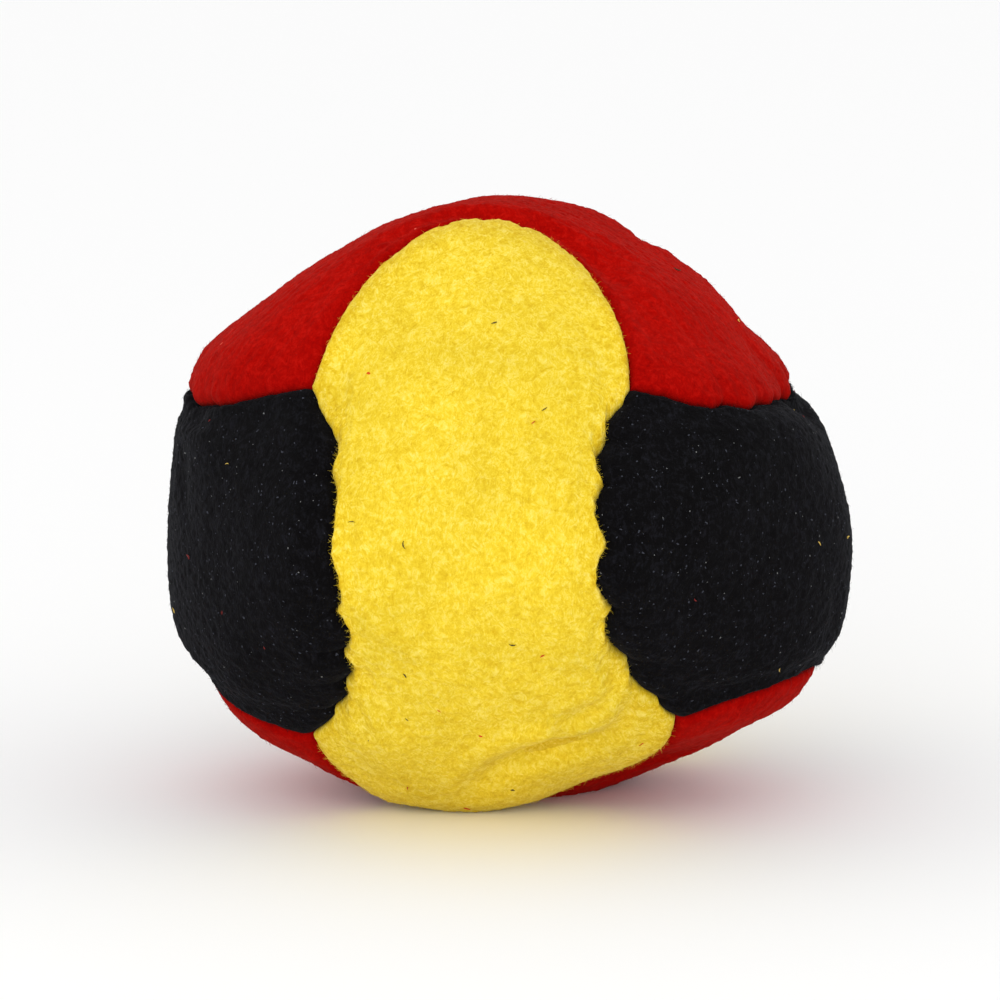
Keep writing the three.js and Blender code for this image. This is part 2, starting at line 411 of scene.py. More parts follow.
def addMix(tree, factor, first, second, kind="MIX"):
    node = tree.nodes.new("ShaderNodeMix")
    node.data_type, node.blend_type = "RGBA", kind
    for label, value in (("Factor", factor), ("A", first), ("B", second)):
        socket = next(s for s in node.inputs if s.name == label and s.type in ("RGBA", "VALUE")
                      and (s.type == "RGBA" or label == "Factor"))
        if hasattr(value, "links"):
            tree.links.new(value, socket)
        elif label == "Factor":
            socket.default_value = value
        else:
            socket.default_value = (*value, 1)
    return next(s for s in node.outputs if s.type == "RGBA")


def makeNapGroup():
    # brushed nap: clumps under a millimetre across, crossed by bent strands and fine grain
    group, given, result = newGroup(
        "suedeNap",
        [("Coordinate", "NodeSocketVector", None), ("Base", "NodeSocketColor", (0.5, 0.5, 0.5, 1)),
         ("Deep", "NodeSocketColor", (0.2, 0.2, 0.2, 1)), ("Bright", "NodeSocketColor", (0.8, 0.8, 0.8, 1)),
         ("Contrast", "NodeSocketFloat", 1)],
        [("Color", "NodeSocketColor"), ("Height", "NodeSocketFloat")],
    )
    coordinate = given.outputs["Coordinate"]
    bend = group.nodes.new("ShaderNodeTexNoise")
    bend.inputs["Scale"].default_value = 420
    bend.inputs["Detail"].default_value = 2
    group.links.new(coordinate, bend.inputs["Vector"])
    bent = group.nodes.new("ShaderNodeVectorMath")
    bent.operation = "MULTIPLY_ADD"
    group.links.new(bend.outputs["Color"], bent.inputs[0])
    bent.inputs[1].default_value = (0.0022, 0.0022, 0.0022)
    group.links.new(coordinate, bent.inputs[2])
    stretched = group.nodes.new("ShaderNodeVectorMath")
    stretched.operation = "MULTIPLY"
    group.links.new(bent.outputs[0], stretched.inputs[0])
    stretched.inputs[1].default_value = (1, 1, 0.3)
    clump = addNoise(group, coordinate, 1180, 3, 0.62, 0.8)
    strand = addNoise(group, stretched.outputs[0], 4800, 2, 0.55)
    grain = addNoise(group, coordinate, 7500, 1, 0.5)
    blotch = addNoise(group, coordinate, 110, 3, 0.55)
    mixed = addMath(group, "ADD", addMath(group, "MULTIPLY", clump, 1.02),
                    addMath(group, "MULTIPLY", strand, 0.78))
    mixed = addMath(group, "ADD", mixed, addMath(group, "MULTIPLY", grain, 0.3))
    centred = addMath(group, "MULTIPLY", addMath(group, "SUBTRACT", mixed, 1.075), given.outputs["Contrast"])
    deepness = addRange(group, centred, 0, -0.42)
    brightness = addRange(group, centred, -0.02, 0.34)
    withDeep = addMix(group, deepness, given.outputs["Base"], given.outputs["Deep"])
    withBright = addMix(group, brightness, withDeep, given.outputs["Bright"])
    shade = addRange(group, blotch, 0.3, 0.7, 0.93, 1.07)
    shaded = group.nodes.new("ShaderNodeVectorMath")
    shaded.operation = "SCALE"
    group.links.new(withBright, shaded.inputs[0])
    group.links.new(shade, shaded.inputs["Scale"])
    group.links.new(shaded.outputs[0], result.inputs["Color"])
    height = addMath(group, "ADD", addMath(group, "MULTIPLY", clump, 0.5),
                     addMath(group, "MULTIPLY", strand, 0.5))
    group.links.new(height, result.inputs["Height"])
    return group


def makeLintAndGlintGroup():
    # scattered specks, used for lint and for painted glints: the few cells of a random mesh whose own number
    # is high enough
    group, given, result = newGroup(
        "lintAndGlintSpecks",
        [("Coordinate", "NodeSocketVector", None), ("Color", "NodeSocketColor", (0.5, 0.5, 0.5, 1)),
         ("Fleck", "NodeSocketColor", (1, 1, 1, 1)), ("Scale", "NodeSocketFloat", 300),
         ("Share", "NodeSocketFloat", 0.03), ("Size", "NodeSocketFloat", 0.12)],
        [("Color", "NodeSocketColor")],
    )
    bend = group.nodes.new("ShaderNodeTexNoise")
    bend.inputs["Scale"].default_value = 1800
    moved = group.nodes.new("ShaderNodeVectorMath")
    moved.operation = "MULTIPLY_ADD"
    group.links.new(given.outputs["Coordinate"], bend.inputs["Vector"])
    group.links.new(bend.outputs["Color"], moved.inputs[0])
    moved.inputs[1].default_value = (0.0006,) * 3
    group.links.new(given.outputs["Coordinate"], moved.inputs[2])
    cells = group.nodes.new("ShaderNodeTexVoronoi")
    group.links.new(moved.outputs[0], cells.inputs["Vector"])
    group.links.new(given.outputs["Scale"], cells.inputs["Scale"])
    split = group.nodes.new("ShaderNodeSeparateColor")
    group.links.new(cells.outputs["Color"], split.inputs[0])
    chosen = addMath(group, "LESS_THAN", split.outputs[0], given.outputs["Share"])
    size = addMath(group, "MULTIPLY", given.outputs["Size"], addMath(group, "ADD", split.outputs[1], 0.3))
    inside = addMath(group, "LESS_THAN", cells.outputs["Distance"], size)
    mask = addMath(group, "MULTIPLY", chosen, inside)
    speckled = addMix(group, mask, given.outputs["Color"], given.outputs["Fleck"])
    group.links.new(speckled, result.inputs["Color"])
    return group


napGroup = makeNapGroup()
lintAndGlintGroup = makeLintAndGlintGroup()


def fromSrgb(red, green, blue):
    # screen colour out of 255 to linear light
    return tuple(((c / 255 + 0.055) / 1.055) ** 2.4 if c > 10 else c / 255 / 12.92
                 for c in (red, green, blue))


suedes = {
    "suedeYellow": {
        "base": fromSrgb(231, 201, 48), "deep": fromSrgb(208, 169, 19), "bright": fromSrgb(244, 222, 104),
        "sheen": 0.12, "sheenTint": (1, 0.9, 0.5), "bump": 0.3, "specular": 0.1,
        "seamContrast": 2.2, "seamShade": 0.5,
        "fleck": [(fromSrgb(206, 84, 26), 430, 0.012, 0.07), (fromSrgb(112, 92, 36), 620, 0.04, 0.07)],
    },
    "suedeBlack": {
        "base": fromSrgb(9, 8, 9), "deep": fromSrgb(5, 4, 5), "bright": fromSrgb(24, 24, 29),
        "sheen": 0.02, "sheenTint": (0.75, 0.8, 1), "bump": 0.4, "specular": 0.06,
        "seamContrast": 1.2, "seamShade": 0.3,
        # flecks: grey painted glints on the fibre tips, dimmer painted glints, then dark red lint
        "fleck": [(fromSrgb(118, 119, 118), 1650, 0.12, 0.11), (fromSrgb(58, 60, 68), 2500, 0.24, 0.2),
                 (fromSrgb(90, 26, 22), 500, 0.012, 0.08)],
    },
    "suedeRed": {
        "base": fromSrgb(162, 6, 2), "deep": fromSrgb(138, 3, 2), "bright": fromSrgb(184, 18, 11),
        "sheen": 0.05, "sheenTint": (1, 0.3, 0.2), "bump": 0.18, "specular": 0.02,
        "seamContrast": 1.6, "seamShade": 0.65,
        # flecks: pale red painted glints
        "fleck": [(fromSrgb(226, 96, 78), 900, 0.02, 0.14)],
    },
}


def placeGroup(tree, group, links, values):
    node = tree.nodes.new("ShaderNodeGroup")
    node.node_tree = group
    for label, socket in links.items():
        tree.links.new(socket, node.inputs[label])
    for label, value in values.items():
        node.inputs[label].default_value = value
    return node


def makeSuede(name, look):
    material = bpy.data.materials.new(name)
    material.use_nodes = True
    tree = material.node_tree
    shader = tree.nodes["Principled BSDF"]
    coordinate = tree.nodes.new("ShaderNodeTexCoord").outputs["Object"]
    seamSide = tree.nodes.new("ShaderNodeAttribute")
    seamSide.attribute_name = "seamNearness"
    # beside the seams the nap's contrast rises, for clumpier nap with painted shade between its clumps
    contrast = addRange(tree, seamSide.outputs["Fac"], 0, 1, 1, look["seamContrast"])
    nap = placeGroup(tree, napGroup, {"Coordinate": coordinate, "Contrast": contrast},
                     {"Base": (*look["base"], 1), "Deep": (*look["deep"], 1), "Bright": (*look["bright"], 1)})
    # painted shade: near the seams the colour is drawn toward the deep tone
    shadow = addRange(tree, seamSide.outputs["Fac"], 0.15, 1, 0, look["seamShade"])
    color = addMix(tree, shadow, nap.outputs["Color"], look["deep"])
    # specks of lint and painted glints, each with colour, scale, share, size
    for fleck, scale, share, size in look["fleck"]:
        specks = placeGroup(tree, lintAndGlintGroup, {"Coordinate": coordinate, "Color": color},
                            {"Fleck": (*fleck, 1), "Scale": scale, "Share": share, "Size": size})
        color = specks.outputs["Color"]
    bump = tree.nodes.new("ShaderNodeBump")
    bump.inputs["Strength"].default_value = look["bump"]
    bump.inputs["Distance"].default_value = 0.0004
    tree.links.new(nap.outputs["Height"], bump.inputs["Height"])
    tree.links.new(bump.outputs["Normal"], shader.inputs["Normal"])
    tree.links.new(color, shader.inputs["Base Color"])
    shader.inputs["Roughness"].default_value = 0.95
    shader.inputs["Specular IOR Level"].default_value = look["specular"]
    shader.inputs["Sheen Weight"].default_value = look["sheen"]
    shader.inputs["Sheen Roughness"].default_value = 0.45
    shader.inputs["Sheen Tint"].default_value = (*look["sheenTint"], 1)
    return material


materials = {name: makeSuede(name, look) for name, look in suedes.items()}
print("suede materials made")


# ---- puffed cover ----

coverLook = {
    "cells": 34,
    "frames": 26,
    "pressure": 3.2,
    "seamShrink": 0.05,
    "inset": 0.0006,  # the cover starts this much inside the form
    "cap": 0.0013,  # furthest that a point may move
}


def puffCover():
    # one welded cloth of all six panels, blown up by its filling while its seams draw in
    cells = coverLook["cells"]
    even = np.linspace(-1, 1, cells + 1)
    u, v = np.meshgrid(even, even, indexing="ij")
    grids, quads = [], []
    for number, panel in enumerate(panelSides):
        grids.append(formPoint(panelDirection(panel, u, v, 0), coverLook["inset"]).reshape(-1, 3))
        quads.append(gridFaces(cells, cells, number * (cells + 1) ** 2, panelSides[panel][1] > 0))
    points = np.concatenate(grids)
    rounded = np.round(points, 6)
    first, welded = np.unique(rounded, axis=0, return_index=True, return_inverse=True)[1:]
    welded = welded.reshape(-1)
    material = bpy.data.materials.new("coverCloth")
    cover = makePiece("cover", points[first], [welded[np.concatenate(quads)]], material)
    group = cover.vertex_groups.new(name="seam")
    edge = (np.maximum(np.abs(u), np.abs(v)) > 0.999).reshape(-1)
    group.add(np.unique(welded[np.tile(edge, len(panelSides))]).tolist(), 1, "REPLACE")
    cloth = cover.modifiers.new("cloth", "CLOTH")
    settings = cloth.settings
    settings.quality, settings.mass = 6, 0.2
    settings.tension_stiffness = settings.compression_stiffness = 18
    settings.shear_stiffness, settings.bending_stiffness = 6, 0.4
    settings.use_pressure, settings.uniform_pressure_force = True, coverLook["pressure"]
    settings.effector_weights.gravity = 0
    settings.vertex_group_shrink = "seam"
    settings.shrink_min, settings.shrink_max = 0, coverLook["seamShrink"]
    settings.air_damping = 6
    cloth.collision_settings.use_self_collision = False
    cloth.point_cache.frame_start, cloth.point_cache.frame_end = 1, coverLook["frames"]
    for step in range(1, coverLook["frames"] + 1):
        bpy.context.scene.frame_set(step)
    shown = cover.evaluated_get(bpy.context.evaluated_depsgraph_get())
    settled = np.empty(len(shown.data.vertices) * 3, np.float32)
    shown.data.vertices.foreach_get("co", settled)
    moved = settled.reshape(-1, 3).astype(float) - points[first]
    bpy.context.scene.frame_set(1)
    mesh = cover.data
    bpy.data.objects.remove(cover)
    bpy.data.meshes.remove(mesh)
    bpy.data.materials.remove(material)
    outward = unit(points[first] - np.array([0, 0, 0.026]))
    moved = moved - outward * (moved * outward).sum(-1).mean()
    length = np.linalg.norm(moved, axis=-1, keepdims=True) + 1e-9
    moved = moved * np.tanh(length / coverLook["cap"]) * coverLook["cap"] / length
    moved = moved[welded].reshape(len(panelSides), cells + 1, cells + 1, 3)
    return dict(zip(panelSides, moved))


puffs = puffCover()


def puffAt(panel, u, v):
    # cubic B-spline through the puffed cover's moves
    if panel not in puffs:
        return 0
    cells = coverLook["cells"]
    grid = np.pad(puffs[panel], ((1, 2), (1, 2), (0, 0)), mode="edge")
    value = 0
    spots = [np.clip((place + 1) / 2 * cells, 0, cells) for place in (u, v)]
    whole = [np.minimum(np.floor(spot).astype(int), cells - 1) for spot in spots]
    weights = []
    for spot, base in zip(spots, whole):
        t = spot - base
        weights.append([(1 - t) ** 3 / 6, (3 * t**3 - 6 * t**2 + 4) / 6,
                        (-3 * t**3 + 3 * t**2 + 3 * t + 1) / 6, t**3 / 6])
    for i in range(4):
        for j in range(4):
            value = value + (weights[0][i] * weights[1][j])[..., None] * grid[whole[0] + i, whole[1] + j]
    return value


# ---- panels ----

panelLook = {
    "cells": 300,  # along each side of the outer face
    "innerCells": 50,
    "thickness": 0.001,
    "allowance": 0.0036,  # how deep the turned-in edge reaches
    "edgeGap": 0.00003,  # from the middle of the seam to the turned-in edge
    "endRoll": 0.0011,  # radius of the roll where the panel's end overlies a waist
    "waistRoll": 0.0008,
    "endProud": 0.00035,  # how far an end stands up beside its seam
    "waistSink": 0.0003,
    "proudWidth": 0.004,
    "bead": 0.00022,  # the turned-in edge lifts a rim beside the seam, with a shallow valley after it
    "beadPlace": 0.0013,
    "valleyPlace": 0.0036,
    "beadWidth": 0.0009,
    "valleyWidth": 0.0014,
    "gridUnit": 0.02,  # roughly how far one unit of the grid reaches
    "zone": 0.085,  # share of the grid given to each rolled edge
    "puckerDepth": 0.00035,
    "puckerReach": 0.0035,
    "lump": 0.00035,
    "lumpCell": 0.008,
    "nap": 0.00008,
    "napCell": 0.00055,
    "innerFloor": 0.0007,  # the inside face stays this far above the ground
}
panelPieces = {  # material, slot, share of the loose fibres
    "front": ("suedeYellow", "suede_yellow", 1),
    "back": ("suedeYellow", "suede_yellow", 1),
    "left": ("suedeBlack", "suede_black", 0.7),
    "right": ("suedeBlack", "suede_black", 0.7),
    "top": ("suedeRed", "suede_red", 0.4),
    "bottom": ("suedeRed", "suede_red", 0.4),
}


def edgeProfile(share, roll):
    # from the face (share 0) over a quarter circle and down the turned-in edge (share 1): inset, depth
    arc = math.pi / 2 * roll
    straight = panelLook["allowance"] - roll
    run = share * (arc + straight)
    angle = np.minimum(run / roll, math.pi / 2)
    inset = panelLook["edgeGap"] + roll * (1 - np.sin(angle))
    depth = roll * (1 - np.cos(angle)) + np.maximum(run - arc, 0)
    return inset, depth


def panelPlaces(panel, even, roll, profile):
    # even grid numbers to places on the panel, with each side's inset and depth
    evenU, evenV = np.meshgrid(even, even, indexing="ij")
    zone = panelLook["zone"]
    inside = 1 - zone
    places, depths = [], []
    for which, mine, other in ((0, evenU, evenV), (1, evenV, evenU)):
        share = np.clip((np.abs(mine) - inside) / zone, 0, 1)
        side = np.sign(mine)
        along = np.clip(other / inside, -1, 1) * 0.985
        inset, depth = profile(share, roll[which])
        worth = {s: metresPerPlace(panel, which, s, along[0] if which == 0 else along[:, 0]) for s in (-1, 1)}
        worthGrid = {s: (w[None, :] if which == 0 else w[:, None]) for s, w in worth.items()}
        full = profile(np.zeros(1), roll[which])[0]
        reach = np.clip(np.abs(mine) / inside, 0, 1)
        edge = np.where(side < 0, worthGrid[-1], worthGrid[1])
        place = side * np.where(share > 0, 1 - inset / edge, reach - reach**4 * full / edge)
        places.append(place)
        depths.append(depth)
    return places[0], places[1], (depths[0] ** 4 + depths[1] ** 4) ** 0.25


creases = {  # from (u, v) to (u, v), depth, width
    "front": [
        ((-0.3, -0.84), (0.97, -0.62), 0.0014, 0.05),
        ((0.2, -0.72), (0.9, -0.46), 0.0004, 0.035),
        ((0.62, 0.55), (0.5, -0.05), 0.0003, 0.07),
        ((-0.9, -0.2), (-0.35, -0.3), 0.0002, 0.05),
    ],
    "right": [((-0.75, 0.2), (0.1, 0.35), 0.0004, 0.05), ((-0.8, -0.35), (-0.2, -0.15), 0.0002, 0.05)],
    "left": [((0.1, -0.5), (0.75, -0.35), 0.0003, 0.05)],
    "top": [((-0.8, -0.3), (0.3, -0.55), -0.0002, 0.05), ((0.2, 0.3), (0.85, 0.45), 0.0003, 0.05)],
    "back": [((-0.8, -0.6), (0.3, -0.75), 0.0004, 0.04), ((0.4, 0.2), (0.7, -0.4), 0.0002, 0.05)],
    "bottom": [],
}


def creaseHeight(panel, u, v):
    # a groove along each line, deepest in its middle, with a soft lip above it
    height = 0
    for start, finish, depth, width in creases[panel]:
        start, finish = np.array(start), np.array(finish)
        line = finish - start
        offset = np.stack([u, v], -1) - start
        share = np.clip((offset @ line) / (line @ line), 0, 1)
        bend = 0.05 * np.sin(5 * share)[..., None] * np.array([-line[1], line[0]])
        gap = offset - share[..., None] * line - bend
        side = gap @ np.array([-line[1], line[0]]) / np.linalg.norm(line)
        distance = np.linalg.norm(gap, axis=-1)
        groove = np.exp(-((distance / width) ** 2)) - 0.5 * np.exp(-(((side - 1.8 * width) / width) ** 2))
        near = np.exp(-((np.maximum(distance - 2 * width, 0) / width) ** 2))
        height = height - depth * np.sin(math.pi * np.clip(share, 0.02, 0.98)) * groove * near
    return height


def seamEffects(panel, u, v):
    # what each seam adds to the height near it: ends stand proud, waists sink, stitches pucker both
    height = 0
    for which, side, seam, _ in panelSeams(panel):
        across, along = (u, v) if which == 0 else (v, u)
        distance = np.maximum(1 - side * across, 0) * panelLook["gridUnit"]
        isEnd = seam["end"] == panel
        corner = 1 - np.abs(along) ** 8
        rise = panelLook["endProud"] if isEnd else -panelLook["waistSink"]
        height = height + corner * rise * np.exp(-distance / panelLook["proudWidth"])
        bead = np.exp(-(((distance - panelLook["beadPlace"]) / panelLook["beadWidth"]) ** 2))
        valley = np.exp(-(((distance - panelLook["valleyPlace"]) / panelLook["valleyWidth"]) ** 2))
        height = height + corner * panelLook["bead"] * (bead - valley)
        pull = (1 - stitchBump(seam, along)) * scallopShare.get(seam["name"], 0.6)
        pucker = corner * panelLook["puckerDepth"] * pull
        height = height - pucker * np.exp(-distance / panelLook["puckerReach"])
    return height


def panelTop(panel, u, v, directions, depth=0):
    # the outer face: form, seam effects, soft lumps of pellets and the nap
    base = formPoint(directions, 0)
    height = seamEffects(panel, u, v) + creaseHeight(panel, u, v)
    height = height + panelLook["lump"] * latticeNoise(base, panelLook["lumpCell"], 5)
    fine = latticeNoise(base, panelLook["napCell"], 7)
    fine = fine + 0.6 * latticeNoise(base, panelLook["napCell"] * 0.45, 8)
    height = height + panelLook["nap"] * fine
    point = formPoint(directions, depth - height) + puffAt(panel, u, v)
    point[..., 2] = np.maximum(point[..., 2], 0)
    return point


def innerProfile(share, roll):
    # inside face: level, then straight down beside the turned-in edge, whatever the roll
    inset = np.full_like(share, panelLook["edgeGap"] + panelLook["thickness"])
    depth = panelLook["thickness"] + share * (panelLook["allowance"] - panelLook["thickness"])
    return inset, depth


def panelSurface(panel, cells):
    even = np.linspace(-1, 1, cells + 1)
    rolls = (panelLook["waistRoll"], panelLook["endRoll"])
    u, v, depth = panelPlaces(panel, even, rolls, edgeProfile)
    return panelTop(panel, u, v, panelDirection(panel, u, v), depth)


def panelInside(panel, cells):
    even = np.linspace(-1, 1, cells + 1)
    u, v, depth = panelPlaces(panel, even, (0, 0), innerProfile)
    depth = np.minimum(depth, panelLook["allowance"])
    point = formPoint(panelDirection(panel, u, v), depth) + puffAt(panel, u, v)
    point[..., 2] = np.maximum(point[..., 2], panelLook["innerFloor"])
    return point


def seamNearness(cells):
    # 1 at the rolled edge, fading inward over a few millimetres: the mask for the painted seam shade and the
    # stronger nap beside the seams
    even = np.linspace(-1, 1, cells + 1)
    edge = np.maximum(np.abs(even)[:, None], np.abs(even)[None, :])
    return np.exp(-(1 - panelLook["zone"] / 2 - np.minimum(edge, 1 - panelLook["zone"] / 2)) * 14)


def makePanel(panel):
    materialName, slotName = panelPieces[panel][:2]
    cells, innerCells = panelLook["cells"], panelLook["innerCells"]
    outer, inner = panelSurface(panel, cells), panelInside(panel, innerCells)
    outward = panelSides[panel][1] < 0
    offset = (cells + 1) ** 2
    outerRim, innerRim = rimLoop(cells), rimLoop(innerCells, offset)
    step = cells // innerCells
    near = np.repeat(innerRim, step)
    fans = np.stack([outerRim, np.roll(outerRim, -1), near], -1)
    joins = np.stack([innerRim, np.roll(outerRim, -step)[::step], np.roll(innerRim, -1)], -1)
    rim = np.concatenate([fans, joins])
    groups = [gridFaces(cells, cells, 0, not outward), gridFaces(innerCells, innerCells, offset, outward),
              rim if outward else rim[:, ::-1]]
    vertices = np.concatenate([outer.reshape(-1, 3), inner.reshape(-1, 3)])
    piece = makePiece(f"{panel}_suede", vertices, groups, materials[materialName])
    nearness = np.concatenate([seamNearness(cells).ravel(), np.ones((innerCells + 1) ** 2)])
    attribute = piece.data.attributes.new("seamNearness", "FLOAT", "POINT")
    attribute.data.foreach_set("value", nearness.astype(np.float32))
    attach(piece, "root")
    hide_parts(f"{panel}_panel")
    return piece


for panelName in panelPieces:
    makePanel(panelName)
print("panels made")


# ---- threads ----

threadLook = {
    "depth": 0.0031,  # from the surface to the middle of the thread
    "strandRadius": 0.00016,
    "twistRadius": 0.00014,
    "turnLength": 0.0013,
    "steps": 90,
    "sides": 6,
    "bare": 0.72,  # share of the seam that is threaded, clear of the corners
}


def makeMaterial(name, color, roughness):
    material = bpy.data.materials.new(name)
    material.use_nodes = True
    tree = material.node_tree
    shader = tree.nodes["Principled BSDF"]
    coordinate = tree.nodes.new("ShaderNodeTexCoord").outputs["Object"]
    nap = placeGroup(tree, napGroup, {"Coordinate": coordinate},
                     {"Base": (*color, 1), "Deep": (*(0.6 * c for c in color), 1),
                      "Bright": (*(min(1, 1.3 * c) for c in color), 1)})
    tree.links.new(nap.outputs["Color"], shader.inputs["Base Color"])
    shader.inputs["Roughness"].default_value = roughness
    return material


def tubeAlong(points, radius, sides):
    # closed tubes along paths of shape (count, steps, 3)
    count, steps = points.shape[:2]
    tangent = unit(np.gradient(points, axis=1))
    across = unit(np.cross(tangent, unit(points - np.array([0, 0, 0.028]))))
    other = np.cross(tangent, across)
    angle = np.linspace(0, 2 * math.pi, sides, endpoint=False)
    radius = np.broadcast_to(radius, (count, steps))[..., None, None]
    ring = across[:, :, None] * np.cos(angle)[:, None] + other[:, :, None] * np.sin(angle)[:, None]
    vertices = points[:, :, None] + ring * radius
    base = np.arange(count)[:, None, None] * steps * sides
    row, side = np.arange(steps - 1)[None, :, None], np.arange(sides)[None, None, :]
    a, b = base + row * sides + side, base + row * sides + (side + 1) % sides
    quads = np.stack([a, b, b + sides, a + sides], -1).reshape(-1, 4)
    cap = np.arange(sides)
    first, last = base[:, :, 0] + cap[::-1], base[:, :, 0] + (steps - 1) * sides + cap
    return vertices.reshape(-1, 3), [quads, first, last]


threadMaterial = makeMaterial("threadCotton", fromSrgb(52, 47, 42), 0.8)
for seam in seams:
    # two strands wound round each other along the seam
    place = np.linspace(-threadLook["bare"], threadLook["bare"], threadLook["steps"])
    core = formPoint(seamDirection(seam, place), np.full_like(place, threadLook["depth"]))
    outward = unit(core - np.array([0, 0, ball["size"][2] / 2]))
    across = unit(np.cross(np.gradient(core, axis=0), outward))
    run = np.concatenate([[0], np.cumsum(np.linalg.norm(np.diff(core, axis=0), axis=1))])
    turn = run / threadLook["turnLength"] * 2 * math.pi
    wound = outward * np.cos(turn)[:, None] + across * np.sin(turn)[:, None]
    strands = np.stack([core + wound * threadLook["twistRadius"], core - wound * threadLook["twistRadius"]])
    vertices, groups = tubeAlong(strands, threadLook["strandRadius"], threadLook["sides"])
    thread = makePiece(f"{seam['name']}_thread", vertices, groups, threadMaterial)
    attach(thread, "root")
    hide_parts(f"seam_thread_{seam['name']}")
print("threads made")


# ---- pellets ----

pelletLook = {
    "radius": 0.0017,
    "spacing": 0.0036,
    "jitter": 0.0004,
    "depth": 0.0072,  # pellets stay this far below the surface
    "sides": 5,
}


def makePellets():
    # a loose close packing of short rounded rods, each turned its own way
    random = np.random.default_rng(11)
    gap = pelletLook["spacing"]
    rows = np.arange(-12, 13)
    i, j, k = np.meshgrid(rows, rows, rows, indexing="ij")
    spots = np.stack([(i + 0.5 * ((j + k) % 2)) * gap, (j + (k % 2) / 3) * gap * 0.87, k * gap * 0.82], -1)
    spots = spots.reshape(-1, 3)
    spots = spots + random.uniform(-1, 1, spots.shape) * pelletLook["jitter"]
    directions = unit(spots + 1e-9)
    limit = np.linalg.norm(formPoint(directions, 0) + middle, axis=-1) - pelletLook["depth"]
    spots = spots[np.linalg.norm(spots, axis=-1) < limit]
    profile = np.array([(0.45, -1), (1, -0.5), (1, 0.5), (0.45, 1)]) * pelletLook["radius"]
    angle = np.linspace(0, 2 * math.pi, pelletLook["sides"], endpoint=False)
    shape = np.stack([profile[:, :1] * np.cos(angle), profile[:, :1] * np.sin(angle),
                      np.repeat(profile[:, 1:], len(angle), 1)], -1).reshape(-1, 3)
    turns = np.linalg.qr(random.normal(size=(len(spots), 3, 3)))[0]
    turns = turns * np.sign(np.linalg.det(turns))[:, None, None]
    vertices = np.einsum("nij,vj->nvi", turns, shape) + spots[:, None] - middle
    sides, base = len(angle), np.arange(len(spots))[:, None, None] * len(shape)
    row, side = np.arange(3)[None, :, None], np.arange(sides)[None, None, :]
    a, b = base + row * sides + side, base + row * sides + (side + 1) % sides
    quads = np.stack([a, b, b + sides, a + sides], -1).reshape(-1, 4)
    caps = [base[:, :, 0] + np.arange(sides)[::-1], base[:, :, 0] + 3 * sides + np.arange(sides)]
    pellets = makePiece("pellets", vertices.reshape(-1, 3), [quads, *caps],
                        makeMaterial("pelletPlastic", fromSrgb(222, 218, 206), 0.45))
    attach(pellets, "root")
    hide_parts("pellet_fill")
    return len(spots)


print("pellets made:", makePellets())


# ---- fuzz and lint ----

fuzzLook = {
    "perPanel": 5000,
    "seamShare": 0.55,  # how many of the fibres grow beside the seams
    "length": (0.00014, 0.00042),
    "radius": 0.000015,
    "steps": 4,
    "lean": 1.2,
}


def makeFuzz(panel):
    # loose fibres: thin three-sided strands that lean over and curl, thickest at the seams
    random = np.random.default_rng(40 + list(panelPieces).index(panel))
    materialName, slotName, share = panelPieces[panel]
    count = int(fuzzLook["perPanel"] * share)
    u, v = random.uniform(-0.97, 0.97, (2, count))
    atSeam = random.uniform(size=count) < fuzzLook["seamShare"]
    inset = 0.97 - 0.06 * random.uniform(size=count) ** 1.5
    pick = random.integers(0, 4, count)
    u = np.where(atSeam & (pick == 0), inset, np.where(atSeam & (pick == 1), -inset, u))
    v = np.where(atSeam & (pick == 2), inset, np.where(atSeam & (pick == 3), -inset, v))
    directions = panelDirection(panel, u, v)
    root = panelTop(panel, u, v, directions) - directions * 0.00005
    lean = unit(np.cross(directions, random.normal(size=(count, 3)))) * fuzzLook["lean"]
    length = random.uniform(*fuzzLook["length"], count)[:, None, None]
    t = np.linspace(0, 1, fuzzLook["steps"])[None, :, None]
    phase = random.uniform(0, 6, (count, 1, 1))
    curl = unit(np.cross(lean, directions))[:, None] * np.sin(2.5 * t + phase) * 0.25
    rise = directions[:, None] * (t - 0.35 * t**2)
    points = root[:, None] + length * (rise + lean[:, None] * t**1.4 + curl * t)
    points[..., 2] = np.maximum(points[..., 2], 0.0001)
    radius = fuzzLook["radius"] * (1.1 - 0.8 * t[..., 0])
    vertices, groups = tubeAlong(points, radius, 3)
    fuzz = makePiece(f"{panel}_fuzz", vertices, groups, materials[materialName])
    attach(fuzz, "root")


for panelName in panelPieces:
    makeFuzz(panelName)
print("fuzz made")

lintLook = {
    "length": (0.0003, 0.0008),
    "radius": (0.00004, 0.00009),
    "steps": 6,
}
lintColors = {  # slot, colour, panels with how many bits
    "orangeLint": ("suede_red", fromSrgb(204, 66, 18), {"front": 7, "back": 6}),
    "darkLint": ("suede_black", fromSrgb(58, 44, 22), {"front": 8, "back": 8, "top": 2}),
    "yellowLint": ("suede_yellow", fromSrgb(226, 192, 88), {"left": 3, "right": 5, "top": 1, "bottom": 1}),
    "redLint": ("suede_red", fromSrgb(120, 20, 14), {"left": 4, "right": 4}),
}


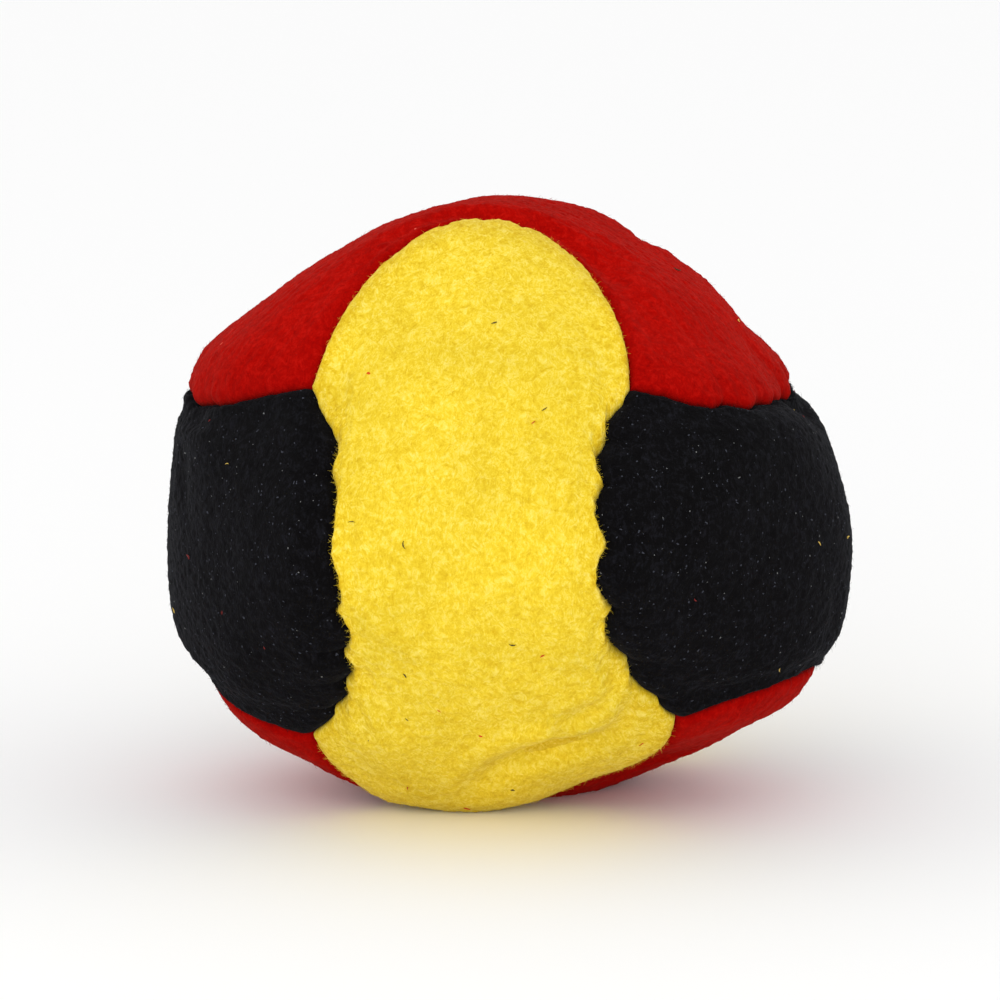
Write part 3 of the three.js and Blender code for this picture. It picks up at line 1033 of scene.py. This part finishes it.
def makeLint(name):
    # curled bits of fibre from the other panels, lying on the nap
    slotName, color, panels = lintColors[name]
    random = np.random.default_rng(70 + list(lintColors).index(name))
    paths, widths = [], []
    for panel, count in panels.items():
        u, v = random.uniform(-0.88, 0.88, (2, count))
        directions = panelDirection(panel, u, v)
        root = panelTop(panel, u, v, directions) + directions * 0.00006
        along = unit(np.cross(directions, random.normal(size=(count, 3))))
        side = np.cross(directions, along)
        t = np.linspace(-0.5, 0.5, lintLook["steps"])[None, :, None]
        length = random.uniform(*lintLook["length"], count)[:, None, None]
        bend = random.uniform(-0.9, 0.9, (count, 1, 1))
        path = root[:, None] + length * (along[:, None] * t + side[:, None] * bend * t**2)
        paths.append(path + directions[:, None] * length * 0.15 * np.abs(t))
        taper = 1.1 - np.abs(t[..., 0]) * 1.4
        widths.append(random.uniform(*lintLook["radius"], (count, 1)) * taper)
    vertices, groups = tubeAlong(np.concatenate(paths), np.concatenate(widths), 5)
    vertices[:, 2] = np.maximum(vertices[:, 2], 0.00001)
    fleck = makePiece(name, vertices, groups, makeMaterial(name, color, 0.9))
    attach(fleck, "root")


for lintName in lintColors:
    makeLint(lintName)
print("lint made")


# ---- camera, floor and light ----

cameraLook = {
    "azimuth": math.radians(12),
    "elevation": math.radians(11),
    "distance": 0.873,
    "widthAtBall": 0.098,  # metres across the view at the ball's middle
    "middle": (0, -0.0001, 0.0257),
    "aimRight": -0.0017,
    "aimUp": 0.0031,
}


def makeCamera():
    data = bpy.data.cameras.new("camera")
    camera = bpy.data.objects.new("camera", data)
    bpy.context.scene.collection.objects.link(camera)
    azimuth, elevation = cameraLook["azimuth"], cameraLook["elevation"]
    back = Vector((math.sin(azimuth) * math.cos(elevation), -math.cos(azimuth) * math.cos(elevation),
                   math.sin(elevation)))
    right = Vector((math.cos(azimuth), math.sin(azimuth), 0))
    aim = (Vector(cameraLook["middle"]) + right * cameraLook["aimRight"]
           + back.cross(right) * cameraLook["aimUp"])
    camera.location = aim + back * cameraLook["distance"]
    camera.rotation_euler = back.to_track_quat("Z", "Y").to_euler()
    data.sensor_width = 36
    data.lens = 36 * cameraLook["distance"] / cameraLook["widthAtBall"]
    data.clip_start = 0.01
    bpy.context.scene.camera = camera


def makeFloor():
    size = 3.0
    corners = np.array([(-1, -1, 0), (1, -1, 0), (1, 1, 0), (-1, 1, 0)], float) * size
    material = bpy.data.materials.new("paleFloor")
    material.use_nodes = True
    shader = material.node_tree.nodes["Principled BSDF"]
    shader.inputs["Base Color"].default_value = (0.93, 0.93, 0.93, 1)
    shader.inputs["Roughness"].default_value = 0.9
    floor = makePiece("floor", corners, [np.array([[0, 1, 2, 3]])], material)


lights = {  # place, what it is aimed at, size, power
    "keyLight": ((-0.05, -0.75, 0.42), (0, 0, 0.03), 0.5, 0.74),
    "lowFill": ((0.12, -0.7, 0.12), (0, 0, 0.015), 0.35, 0.9),
}


def makeLight(name, location, target, size, power):
    data = bpy.data.lights.new(name, "AREA")
    data.size, data.energy = size, power
    light = bpy.data.objects.new(name, data)
    bpy.context.scene.collection.objects.link(light)
    light.location = location
    light.rotation_euler = (Vector(location) - Vector(target)).to_track_quat("Z", "Y").to_euler()


def makeWorld(strength):
    world = bpy.data.worlds.new("studio")
    bpy.context.scene.world = world
    world.use_nodes = True
    world.node_tree.nodes["Background"].inputs["Color"].default_value = (1, 1, 1, 1)
    world.node_tree.nodes["Background"].inputs["Strength"].default_value = strength


makeCamera()
makeFloor()
makeWorld(1.02)
for lightName, lightSettings in lights.items():
    makeLight(lightName, *lightSettings)
bpy.context.scene.view_settings.view_transform = "Standard"
print("studio made")
